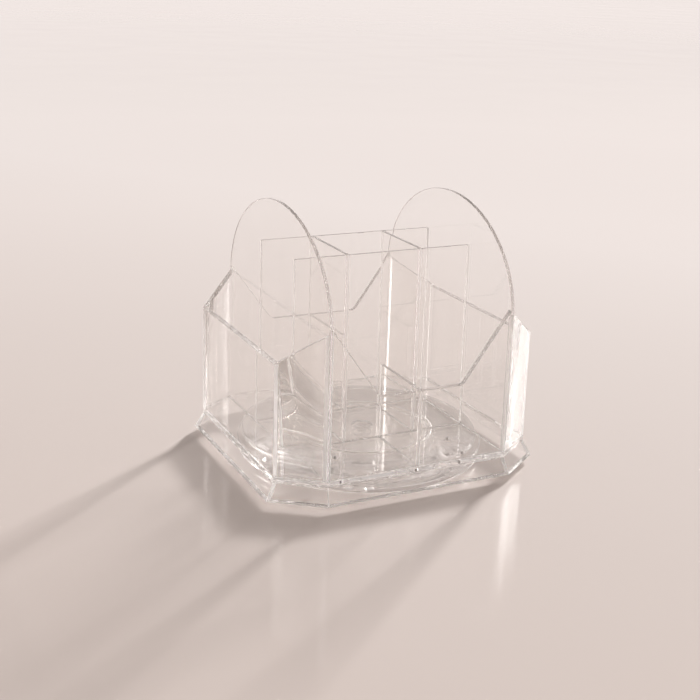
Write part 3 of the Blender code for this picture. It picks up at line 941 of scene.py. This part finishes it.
def disc_mesh(bm, name):
    """A disc's mesh, with the satin of the ball track in its groove."""
    for face in bm.faces:
        middle = face.calc_center_median()
        beside = math.hypot(middle.x, middle.y) - RACE_RADIUS
        if math.hypot(beside, middle.z - BALL_Z) < GROOVE_RADIUS + 0.1 * MM:
            face.material_index = TRACK
    return finish_mesh(bm, name, finishes(moulded_disc, ball_track))


def screw_places():
    """The places of the screws, from their nodes."""
    places = []
    for number in range(1, FIXING_COUNT + 1):
        low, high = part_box(f"turntable_screw_{number}")
        places.append(Vector(((low.x + high.x) / 2, (low.y + high.y) / 2, 0.0)))
    return places


class ORGANIZER_OT_discs(bpy.types.Operator):
    """Makes the two turntable discs with their rounded rims, ball grooves and bores"""

    bl_idname = "organizer.discs"
    bl_label = "Turntable discs"

    def execute(self, context):
        self.base(context.scene.organizer_turntable)
        self.top(context.scene.organizer_turntable)
        return {"FINISHED"}

    def base(self, table):
        """The lower disc, counterbored from below for the pin's head."""
        low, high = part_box("turntable_base_disc")
        shoulder = low.z + COUNTERBORE_DEPTH
        profile = [(COUNTERBORE_RADIUS, low.z), (high.x, low.z), (high.x, high.z), (BEYOND_GROOVE, high.z)]
        profile = rounded(profile, table.rim, (1, 2))[:-1]
        profile += groove(high.z, 1)
        profile += [(PIN_BORE, high.z), (PIN_BORE, shoulder), (COUNTERBORE_RADIUS, shoulder)]
        mesh = disc_mesh(turned(profile, table.steps), "base_disc")
        piece_from_mesh("base_disc", mesh, "base", ["turntable_base_disc"])

    def top(self, table):
        """The upper disc, recessed for the pivot and drilled for the screws."""
        low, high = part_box("turntable_top_disc")
        recess = low.z + RECESS_FLOOR
        profile = [(BEYOND_GROOVE, low.z), (high.x, low.z), (high.x, high.z), (RECESS_RADIUS, high.z)]
        profile = rounded(profile, table.rim, (1, 2))[1:]
        profile = [(BUSH_BORE, low.z)] + groove(low.z, -1)[::-1] + profile
        profile += [(RECESS_RADIUS, recess), (BUSH_BORE, recess)]
        neck = low.z + SHANK_HOLE_START
        sink = [(0, low.z - MM), (HEAD_HOLE, low.z - MM), (HEAD_HOLE, low.z + HEAD_HOLE_DEPTH),
                (SHANK_HOLE, neck), (SHANK_HOLE, high.z + MM), (0, high.z + MM)]
        holes = copies(turned(sink, 40, closed=False), screw_places())
        mesh = disc_mesh(carved(turned(profile, table.steps), holes), "top_disc")
        piece_from_mesh("top_disc", mesh, "organizer", ["turntable_top_disc"])


class ORGANIZER_OT_ball_race(bpy.types.Operator):
    """Makes the balls and the cage with a hole for each of them"""

    bl_idname = "organizer.ball_race"
    bl_label = "Ball race"

    def execute(self, context):
        places = []
        for number in range(1, BALL_COUNT + 1):
            node = f"ball_{number:02d}"
            low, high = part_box(node)
            place = (low + high) / 2
            places.append(Vector((place.x, place.y, 0.0)))
            bm = bmesh.new()
            bmesh.ops.create_uvsphere(bm, u_segments=32, v_segments=16, radius=BALL_RADIUS)
            bmesh.ops.translate(bm, verts=bm.verts, vec=place)
            mesh = finish_mesh(bm, "glass_" + node, finishes(glass_ball), smooth_under=60)
            piece_from_mesh("glass_" + node, mesh, "ball_ring", [node])
        low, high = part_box("ball_cage")
        outer, inner = high.x, high.x - CAGE_WIDTH
        profile = [(inner, low.z), (outer, low.z), (outer, high.z), (inner, high.z)]
        ring = turned(rounded(profile, 0.35 * MM, (0, 1, 2, 3), 3), 192)
        hole = turned([(0, low.z - MM), (GROOVE_RADIUS, low.z - MM), (GROOVE_RADIUS, high.z + MM),
                       (0, high.z + MM)], 40, closed=False)
        mesh = finish_mesh(carved(ring, copies(hole, places)), "cage_ring", finishes(clear_pivot))
        piece_from_mesh("cage_ring", mesh, "ball_ring", ["ball_cage"])
        return {"FINISHED"}


class ORGANIZER_OT_pivot(bpy.types.Operator):
    """Makes the pivot pin, its bush and its retaining ring"""

    bl_idname = "organizer.pivot"
    bl_label = "Pivot"

    def execute(self, context):
        low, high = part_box("pivot_pin")
        head = low.z + PIN_HEAD
        profile = [(0, low.z), (high.x, low.z), (high.x, head), (PIN_RADIUS, head), (PIN_RADIUS, high.z),
                   (0, high.z)]
        self.part("pivot_pin", turned(rounded(profile, 0.4 * MM, (1, 2, 4)), 64, closed=False), "base")
        low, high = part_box("pivot_bush")
        flange = high.z - BUSH_FLANGE
        profile = [(PIN_BORE, low.z), (BUSH_RADIUS, low.z), (BUSH_RADIUS, flange), (high.x, flange),
                   (high.x, high.z), (PIN_BORE, high.z)]
        self.part("pivot_bush", turned(rounded(profile, 0.2 * MM, (0, 1, 3, 4, 5)), 64), "organizer")
        low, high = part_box("pivot_retaining_ring")
        profile = [(PIN_BORE, low.z), (high.x, low.z), (high.x, high.z), (PIN_BORE, high.z)]
        ring = turned(rounded(profile, 0.25 * MM, (0, 1, 2, 3)), 64)
        half, under = RING_SPLIT / 2, low.z - MM
        split = [(0, -half, under), (RECESS_RADIUS, -half, under), (RECESS_RADIUS, half, under),
                 (0, half, under)]
        self.part("pivot_retaining_ring", carved(ring, [prism(split, (0, 0, 4 * MM))]), "base")
        return {"FINISHED"}

    def part(self, node, bm, body):
        """One turned part of the pivot."""
        mesh = finish_mesh(bm, node + "_turned", finishes(clear_pivot))
        piece_from_mesh(node + "_turned", mesh, body, [node])


def thread(radius, low, high, pitch, around=24):
    """A threaded shank that runs out into a plain end."""
    bm = bmesh.new()
    count = max(2, round((high - low) / (pitch / 6)))
    rows = []
    for row in range(count + 1):
        z = low + (high - low) * row / count
        end = min(1.0, (high - z) / pitch)
        ring = []
        for step in range(around):
            turn = step / around
            phase = ((z - low) / pitch - turn) % 1.0
            ridge = 1.0 - abs(2.0 * phase - 1.0)
            reach = radius * (THREAD_CORE + (1.0 - THREAD_CORE) * ridge * end)
            angle = turn * math.tau
            ring.append(bm.verts.new((reach * math.cos(angle), reach * math.sin(angle), z)))
        rows.append(ring)
    for first, second in zip(rows, rows[1:]):
        for i in range(around):
            j = (i + 1) % around
            bm.faces.new((first[i], first[j], second[j], second[i]))
    bm.faces.new(rows[-1])
    bm.faces.new(rows[0][::-1])
    return bm


class ORGANIZER_OT_screws(bpy.types.Operator):
    """Makes the four countersunk screws with cross recesses and threads"""

    bl_idname = "organizer.screws"
    bl_label = "Screws"

    def execute(self, context):
        table = context.scene.organizer_turntable
        low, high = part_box("turntable_screw_1")
        radius = (high.x - low.x) / 2
        rim, neck = low.z + HEAD_EDGE, low.z + HEAD_HEIGHT
        profile = [(0, low.z), (radius - HEAD_EDGE, low.z), (radius, rim), (radius, rim + HEAD_EDGE),
                   (NECK_RADIUS, neck), (NECK_RADIUS, neck + NECK_HEIGHT), (0, neck + NECK_HEIGHT)]
        head = carved(turned(profile, 48, closed=False), self.recess(low.z))
        bm = merged([head, thread(SHANK_RADIUS, neck, high.z, table.thread)])
        for number, shape in enumerate(copies(bm, screw_places()), start=1):
            name = f"screw_{number}"
            mesh = finish_mesh(shape, name, finishes(darkened_steel))
            piece_from_mesh(name, mesh, "organizer", [f"turntable_screw_{number}"])
        return {"FINISHED"}

    def recess(self, level):
        """The two tapered slots of a cross recess."""
        mouth, floor = level - 0.1 * MM, level + 1.2 * MM
        outline = [(-1.7 * MM, -0.4 * MM, mouth), (1.7 * MM, -0.4 * MM, mouth),
                   (0.5 * MM, -0.3 * MM, floor), (-0.5 * MM, -0.3 * MM, floor)]
        slots = []
        for turn in (0, 90):
            bm = prism(outline, (0, 0.7 * MM, 0))
            matrix = Matrix.Rotation(math.radians(turn), 3, "Z")
            bmesh.ops.rotate(bm, verts=bm.verts, cent=(0, 0, 0), matrix=matrix)
            slots.append(bm)
        return slots


class ORGANIZER_OT_feet(bpy.types.Operator):
    """Makes the four soft pads under the base disc"""

    bl_idname = "organizer.feet"
    bl_label = "Feet"

    def execute(self, context):
        for number in range(1, FIXING_COUNT + 1):
            node = f"rubber_foot_{number}"
            low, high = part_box(node)
            radius, middle = (high.x - low.x) / 2, (low + high) / 2
            profile = [(0, low.z), (radius * 0.55, low.z), (radius * 0.60, low.z + 0.15 * MM),
                       (radius * 0.65, low.z), (radius, low.z), (radius, high.z), (0, high.z)]
            bm = turned(rounded(profile, 0.35 * MM, (4, 5)), 48, closed=False)
            bmesh.ops.translate(bm, verts=bm.verts, vec=(middle.x, middle.y, 0.0))
            name = f"foot_pad_{number}"
            mesh = finish_mesh(bm, name, finishes(clear_silicone), smooth_under=50)
            piece_from_mesh(name, mesh, "base", [node])
        return {"FINISHED"}


class ORGANIZER_OT_stage(bpy.types.Operator):
    """Makes the floor, the surroundings, the lights and the camera"""

    bl_idname = "organizer.stage"
    bl_label = "Stage"

    def execute(self, context):
        stage = context.scene.organizer_stage
        make_floor()
        make_world(stage)
        make_lights(stage)
        make_camera(stage)
        set_rays(context.scene)
        return {"FINISHED"}


def make_floor():
    """A wide pale satin floor, with painted shade in its colour."""
    bm = bmesh.new()
    bmesh.ops.create_circle(bm, cap_ends=True, segments=128, radius=FLOOR_RADIUS)
    mesh = finish_mesh(bm, "floor", finishes(satin_floor_painted_shade))
    floor = bpy.data.objects.new("floor", mesh)
    floor.location.z = -FLOOR_DROP
    bpy.context.scene.collection.objects.link(floor)


def make_world(stage):
    """Pale surroundings, brighter near the horizon."""
    world = bpy.data.worlds.new("surroundings")
    world.use_nodes = True
    tree = world.node_tree
    way = tree.nodes.new("ShaderNodeTexCoord").outputs["Generated"]
    height = vector_node(tree, "DOT_PRODUCT", "Value", way, UP)
    colour = blend(tree, ramp(tree, height, *SKY_HEIGHTS), stage.low_sky, stage.high_sky)
    tree.links.new(colour, tree.nodes["Background"].inputs["Color"])
    bpy.context.scene.world = world


def add_lamp(light, way, place=(0.0, 0.0, 0.0)):
    """A lamp at a place, with its back to a way."""
    lamp = bpy.data.objects.new(light.name, light)
    lamp.location = place
    lamp.rotation_euler = way.to_track_quat("Z", "Y").to_euler()
    bpy.context.scene.collection.objects.link(lamp)
    return lamp


def add_window(name, place, size, power, colour):
    """A window as a rectangular soft light that faces the organizer."""
    light = bpy.data.lights.new(name, "AREA")
    light.shape = "RECTANGLE"
    light.size, light.size_y = size
    light.energy = power
    light.color = colour
    return add_lamp(light, Vector(place) - CENTRE, place)


def make_lights(stage):
    """A low key light from the right and behind, and two windows: one that glass shows in its place."""
    sun = bpy.data.lights.new("key", "SUN")
    sun.energy = stage.key_strength
    sun.angle = KEY_ANGLE
    key = add_lamp(sun, KEY_WAY)
    key.visible_glossy = False
    key.visible_transmission = False
    window_place = WINDOW_DISTANCE * WINDOW_WAY
    window = add_window("key_window", window_place, WINDOW_SIZE, stage.window_power, stage.window_colour)
    window.visible_diffuse = False
    add_window("side_window", SIDE_WINDOW_PLACE, SIDE_WINDOW_SIZE, stage.side_power, stage.window_colour)


def make_camera(stage):
    """The camera, at the photograph's viewing angle."""
    data = bpy.data.cameras.new("camera")
    data.lens = stage.lens
    data.sensor_width = 36.0
    data.shift_x, data.shift_y = CAMERA_SHIFT
    camera = bpy.data.objects.new("camera", data)
    up = CAMERA_BACK.cross(CAMERA_RIGHT).normalized()
    turn = Matrix((up.cross(CAMERA_BACK), up, CAMERA_BACK)).transposed()
    camera.matrix_world = Matrix.Translation(CAMERA_PLACE) @ turn.to_4x4()
    bpy.context.scene.collection.objects.link(camera)
    bpy.context.scene.camera = camera


def set_rays(scene):
    """Plain colours, and rays that go on through all of the clear sheets."""
    scene.view_settings.view_transform = "Standard"
    scene.cycles.max_bounces = 64
    scene.cycles.transmission_bounces = 64
    scene.cycles.glossy_bounces = 64
    scene.cycles.transparent_max_bounces = 96
    scene.cycles.blur_glossy = 0.0


PIECES = (ORGANIZER_OT_floor_plate, ORGANIZER_OT_outer_walls, ORGANIZER_OT_corner_walls,
          ORGANIZER_OT_arch_panels, ORGANIZER_OT_inner_panels, ORGANIZER_OT_skirt, ORGANIZER_OT_cement,
          ORGANIZER_OT_discs, ORGANIZER_OT_ball_race, ORGANIZER_OT_pivot, ORGANIZER_OT_screws,
          ORGANIZER_OT_feet)


class ORGANIZER_PT_panel(bpy.types.Panel):
    """Lists the organizer's pieces and settings"""

    bl_idname = "ORGANIZER_PT_panel"
    bl_label = "Rotating organizer"
    bl_space_type = "VIEW_3D"
    bl_region_type = "UI"
    bl_category = "Organizer"

    def draw(self, context):
        layout = self.layout
        for operator in (ORGANIZER_OT_stage,) + PIECES:
            layout.operator(operator.bl_idname)
        for settings in SETTINGS:
            group = getattr(context.scene, settings)
            box = layout.box()
            for name in group.__annotations__:
                box.prop(group, name)


SETTINGS = {"organizer_sheets": OrganizerSheets, "organizer_turntable": OrganizerTurntable,
            "organizer_stage": OrganizerStage}
CLASSES = (*SETTINGS.values(), ORGANIZER_OT_stage, *PIECES, ORGANIZER_PT_panel)


def register():
    """Registers the settings, operators and panel."""
    for item in CLASSES:
        bpy.utils.register_class(item)
    for name, settings in SETTINGS.items():
        setattr(bpy.types.Scene, name, bpy.props.PointerProperty(type=settings))


def unregister():
    """Removes the settings, operators and panel."""
    for name in SETTINGS:
        delattr(bpy.types.Scene, name)
    for item in reversed(CLASSES):
        bpy.utils.unregister_class(item)


def main():
    """Makes the whole scene."""
    register()
    bpy.ops.organizer.stage()
    bpy.ops.organizer.floor_plate()
    bpy.ops.organizer.outer_walls()
    bpy.ops.organizer.corner_walls()
    bpy.ops.organizer.arch_panels()
    bpy.ops.organizer.inner_panels()
    bpy.ops.organizer.skirt()
    bpy.ops.organizer.cement()
    bpy.ops.organizer.discs()
    bpy.ops.organizer.ball_race()
    bpy.ops.organizer.pivot()
    bpy.ops.organizer.screws()
    bpy.ops.organizer.feet()


if __name__ == "__main__":
    main()
